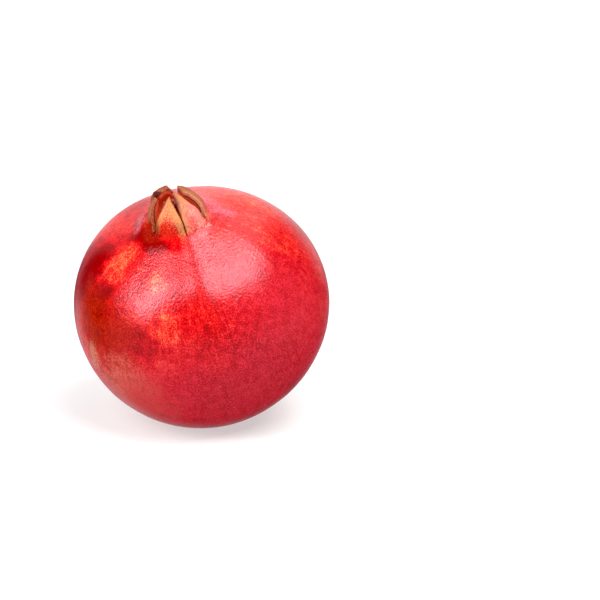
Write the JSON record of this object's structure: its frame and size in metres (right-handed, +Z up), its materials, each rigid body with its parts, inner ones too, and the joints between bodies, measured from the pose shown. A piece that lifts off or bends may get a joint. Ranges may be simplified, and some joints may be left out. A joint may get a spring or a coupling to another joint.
{
  "type": "pomegranate",
  "caption": "Whole ripe fruit, nearly round, with a crown of thick dried sepals that close over a tuft of stamens; rests on a small flat spot.",
  "frame": {"origin": "middle of the small flat spot that the fruit rests on", "axes": "+Z up from the surface it rests on; the crown leans towards -Y, 24.2 degrees from upright; -Z is the outward normal of the flat spot"},
  "size_m": [0.0939, 0.0915, 0.0921],
  "materials": {
    "rind": "satin, finely grained red skin with yellow-orange mottling; dry brown edges on the crown",
    "stamens": "dry, reddish brown filaments with yellow heads"
  },
  "bodies": {
    "root": {"fruit": "rind", "stamens": "stamens"}
  },
  "joints": []
}
